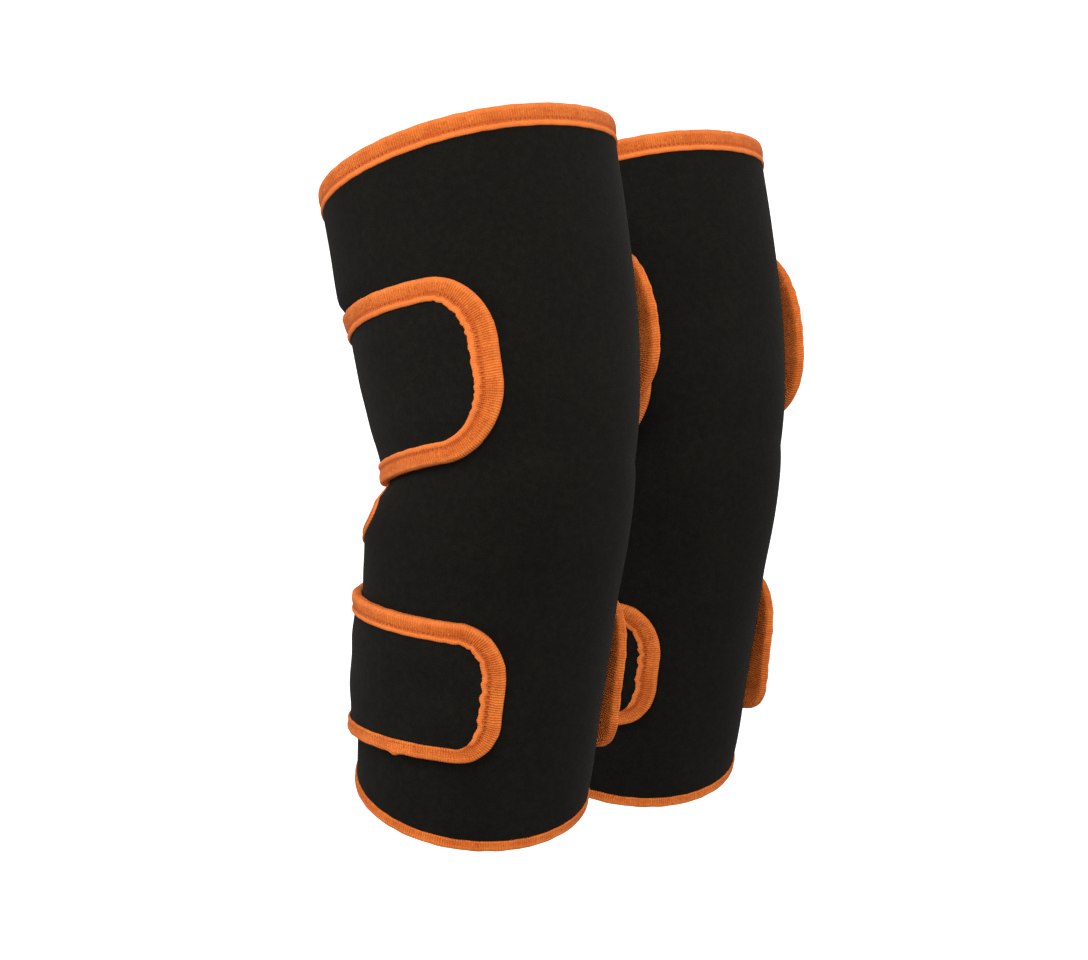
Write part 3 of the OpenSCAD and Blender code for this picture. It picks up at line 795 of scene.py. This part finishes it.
def puff_up(obj):
    """Swells the foam with a short cloth simulation, then keeps each point near where it began."""
    bpy.context.view_layer.objects.active = obj
    for other in bpy.context.selected_objects:
        other.select_set(False)
    obj.select_set(True)
    weld = obj.modifiers.new("join", "WELD")
    weld.merge_threshold = 0.02 * MM
    bpy.ops.object.modifier_apply(modifier=weld.name)
    remesh = obj.modifiers.new("even", "REMESH")
    remesh.mode = "VOXEL"
    remesh.voxel_size = 1.6 * MM
    bpy.ops.object.modifier_apply(modifier=remesh.name)
    start = np.empty(len(obj.data.vertices) * 3)
    obj.data.vertices.foreach_get("co", start)
    start = start.reshape(-1, 3)
    cloth = obj.modifiers.new("swell", "CLOTH")
    cloth.settings.use_pressure = True
    cloth.settings.uniform_pressure_force = 3.0
    cloth.settings.quality = 6
    cloth.settings.effector_weights.gravity = 0.0
    cloth.settings.tension_stiffness = 30
    cloth.settings.compression_stiffness = 30
    cloth.point_cache.frame_start = 1
    cloth.point_cache.frame_end = SWELL_FRAMES
    for number in range(1, SWELL_FRAMES + 1):
        bpy.context.scene.frame_set(number)
    shown = obj.evaluated_get(bpy.context.evaluated_depsgraph_get()).data
    moved = np.empty(len(shown.vertices) * 3)
    shown.vertices.foreach_get("co", moved)
    obj.modifiers.remove(cloth)
    step = moved.reshape(-1, 3) - start
    size = np.linalg.norm(step, axis=1, keepdims=True)
    start = start + step * np.minimum(1.0, FOAM_SWELL * MM / np.maximum(size, 1e-9))
    obj.data.vertices.foreach_set("co", start.ravel())
    bpy.context.scene.frame_set(1)
    obj.data.polygons.foreach_set("use_smooth", [True] * len(obj.data.polygons))
    obj.data.update()
    finer = obj.modifiers.new("finer", "SUBSURF")
    finer.levels = finer.render_levels = 1
    return obj


def bend_knee(obj):
    """Bakes the piece's placement into its mesh."""
    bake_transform(obj)


def copied(source, name, offset):
    """The same piece again for another pad, moved by that pad's offset."""
    obj = source.copy()
    obj.data = source.data.copy()
    obj.name = name
    bpy.context.scene.collection.objects.link(obj)
    points = np.empty(len(obj.data.vertices) * 3)
    obj.data.vertices.foreach_get("co", points)
    obj.data.vertices.foreach_set("co", (points.reshape(-1, 3) + offset * MM).ravel())
    return obj


first_cushion = puff_up(cushion_shape().build("right_cushion", np.array(PADS["right"]), FOAM))
cushions = {"right": first_cushion,
            "left": copied(first_cushion, "left_cushion", np.array(PADS["left"]))}

for side, place_at in PADS.items():
    offset = np.array(place_at)
    changes = LEFT_TABS if side == "left" else {}
    tabs = {name: {**spec, **changes.get(name, {})} for name, spec in TABS.items()}

    sleeve = thicken(sleeve_patch(side).build(side + "_sleeve", offset, BLACK), CLOTH - 0.2, -1.0)
    top = rim_patch(top_station, side, TOP_TAPE, False, 11.0).build(side + "_top_tape", offset, ORANGE)
    bottom = rim_patch(bottom_station, side, BOTTOM_TAPE, True, 12.0).build(side + "_bottom_tape", offset,
                                                                            ORANGE)
    opening = opening_patch(tabs).build(side + "_opening_tape", offset, ORANGE)
    bend_knee(sleeve)
    bend_knee(opening)
    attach(top, side + "_thigh")
    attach(bottom, side + "_calf")
    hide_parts(side + "_thigh_shell", side + "_knee_shell", side + "_calf_shell")
    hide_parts(side + "_top_binding")
    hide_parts(side + "_bottom_binding")
    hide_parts(side + "_back_opening_binding")

    for level, segment in (("upper", "thigh"), ("lower", "calf")):
        band = band_cloth(tabs, level).build(f"{side}_{level}_band", offset, BLACK_TAB)
        thicken(band, TAB_CLOTH, 0.0)
        tapes = band_tapes(tabs, level).build(f"{side}_{level}_band_tape", offset, ORANGE)
        for obj in (band, tapes):
            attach(obj, f"{side}_{segment}")
        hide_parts(f"{side}_{level}_back_band")
        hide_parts(f"{side}_{level}_back_band_binding")

    for name, spec in tabs.items():
        tab = Tab(spec)
        body = f"{side}_{name}_tab"
        panel = thicken(tab.cloth().build(f"{side}_{name}_panel", offset, BLACK_TAB), TAB_CLOTH, 0.0)
        tape = tab.tape().build(f"{side}_{name}_tape", offset, ORANGE)
        hook = thicken(tab.hook().build(f"{side}_{name}_hook_patch", offset, HOOK), HOOK_THICK, 0.0)
        start, end = tab.hinge(offset)
        for obj in (panel, tape):
            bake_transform(obj)
        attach(hook, body)
        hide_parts(body)
        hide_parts(body + "_binding")
        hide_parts(body + "_hook")

    cushion = cushions[side]
    bend_knee(cushion)
    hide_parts(side + "_knee_cushion")


# ---------------------------------------------------------------- studio

# Metres: height of the floor, radius of its flat part, radius of the sweep and height of the wall's top
FLOOR_Z, FLOOR_R, SWEEP_R, WALL_TOP = -0.75, 4.0, 2.0, 6.0
PAIR_MIDDLE = (0.09, 0.04, -0.02)
# Name, place, size and power of each soft lamp
LAMPS = [
    ("key", (-1.6, -1.9, 1.9), 1.6, 42.0),
    ("front", (-1.0, -1.7, 0.15), 0.9, 17.0),
    ("fill", (1.9, -1.6, 0.9), 1.8, 27.0),
    ("back_left", (-1.9, 0.9, 0.7), 1.2, 28.0),
    ("overhead", (0.1, 0.1, 2.4), 1.8, 26.0),
]
WORLD_STRENGTH = 0.43
CAMERA_AT = (-1.0204, -1.33735, 0.01625)
CAMERA_TURN, CAMERA_DROP, CAMERA_LENS = -38.0, 1.34, 105.88


def backdrop():
    """Pale floor that sweeps up into a wall far round the pads. It lights nothing by itself."""
    mat, nodes, links = material("pale_stage")
    skin = nodes["Principled BSDF"]
    skin.inputs["Base Color"].default_value = (0.93, 0.93, 0.93, 1.0)
    skin.inputs["Roughness"].default_value = 0.9
    skin.inputs["Specular IOR Level"].default_value = 0.0
    skin.inputs["Emission Color"].default_value = (1.0, 1.0, 1.0, 1.0)
    skin.inputs["Emission Strength"].default_value = 1.0
    profile = [(r, FLOOR_Z) for r in (0.01, FLOOR_R / 2, FLOOR_R)]
    steps, around = 12, 64
    for k in range(1, steps + 1):
        a = math.pi / 2 * k / steps
        profile.append((FLOOR_R + SWEEP_R * math.sin(a), FLOOR_Z + SWEEP_R * (1 - math.cos(a))))
    profile.append((FLOOR_R + SWEEP_R, WALL_TOP))
    points, faces = [], []
    for r, z in profile:
        for k in range(around):
            a = 2 * math.pi * k / around
            points.append((r * math.cos(a), r * math.sin(a), z))
    for i in range(len(profile) - 1):
        for k in range(around):
            n = (k + 1) % around
            faces.append((i * around + k, i * around + n, (i + 1) * around + n, (i + 1) * around + k))
    faces.append(tuple(range(around)))
    mesh = bpy.data.meshes.new("stage_floor")
    mesh.from_pydata(points, [], faces)
    mesh.polygons.foreach_set("use_smooth", [True] * len(mesh.polygons))
    mesh.materials.append(mat)
    obj = bpy.data.objects.new("stage_floor", mesh)
    bpy.context.scene.collection.objects.link(obj)
    obj.visible_diffuse = False
    obj.visible_glossy = False


def soft_light(name, at, size, power):
    """Round area lamp turned toward the pair."""
    data = bpy.data.lights.new(name, "AREA")
    data.shape = "DISK"
    data.size = size
    data.energy = power
    obj = bpy.data.objects.new(name, data)
    obj.location = at
    direction = np.array(PAIR_MIDDLE) - np.array(at)
    obj.rotation_euler = Vector(direction).to_track_quat("-Z", "Y").to_euler()
    bpy.context.scene.collection.objects.link(obj)


backdrop()
for lamp in LAMPS:
    soft_light(*lamp)

world = bpy.data.worlds.new("soft_room")
world.use_nodes = True
world.node_tree.nodes["Background"].inputs["Color"].default_value = (1.0, 1.0, 1.0, 1.0)
world.node_tree.nodes["Background"].inputs["Strength"].default_value = WORLD_STRENGTH
bpy.context.scene.world = world

camera_data = bpy.data.cameras.new("camera")
camera_data.lens = CAMERA_LENS
camera_data.sensor_width = 36.0
camera = bpy.data.objects.new("camera", camera_data)
camera.location = CAMERA_AT
camera.rotation_euler = (math.radians(90.0 - CAMERA_DROP), 0.0, math.radians(CAMERA_TURN))
bpy.context.scene.collection.objects.link(camera)
bpy.context.scene.camera = camera
bpy.context.scene.view_settings.view_transform = "Standard"
